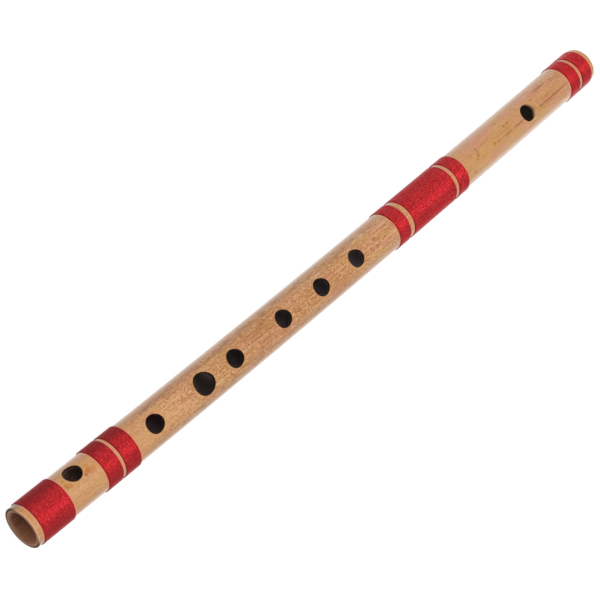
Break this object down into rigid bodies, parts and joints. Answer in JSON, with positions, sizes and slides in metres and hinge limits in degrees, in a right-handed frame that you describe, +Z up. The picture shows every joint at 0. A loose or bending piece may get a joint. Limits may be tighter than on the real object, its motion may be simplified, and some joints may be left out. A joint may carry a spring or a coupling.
{
  "type": "bamboo transverse flute",
  "caption": "Side-blown bamboo flute with a blow hole, finger holes in line, a turned foot hole, a cork in the head end and bindings of red thread.",
  "frame": {"origin": "middle of the flute's bounding box on the surface that its bindings rest on", "axes": "+X along the tube from the foot end to the head end, +Z up, where the blow hole and finger holes face; the foot hole is turned towards +Y"},
  "size_m": [0.485, 0.0264, 0.0244],
  "materials": {
    "bamboo": "smooth cured bamboo skin with fine dark grain, lightly glossy",
    "thread": "red silky thread, close wound, satin",
    "cork": "natural cork, matt"
  },
  "bodies": {
    "root": {"bamboo_tube": "bamboo", "cork_stopper": "cork", "binding_foot_wide": "thread", "binding_foot_narrow_outer": "thread", "binding_foot_narrow_inner": "thread", "binding_middle_foot_side": "thread", "binding_middle_wide": "thread", "binding_middle_head_side": "thread", "binding_head_narrow_inner": "thread", "binding_head_narrow_outer": "thread"}
  },
  "joints": []
}
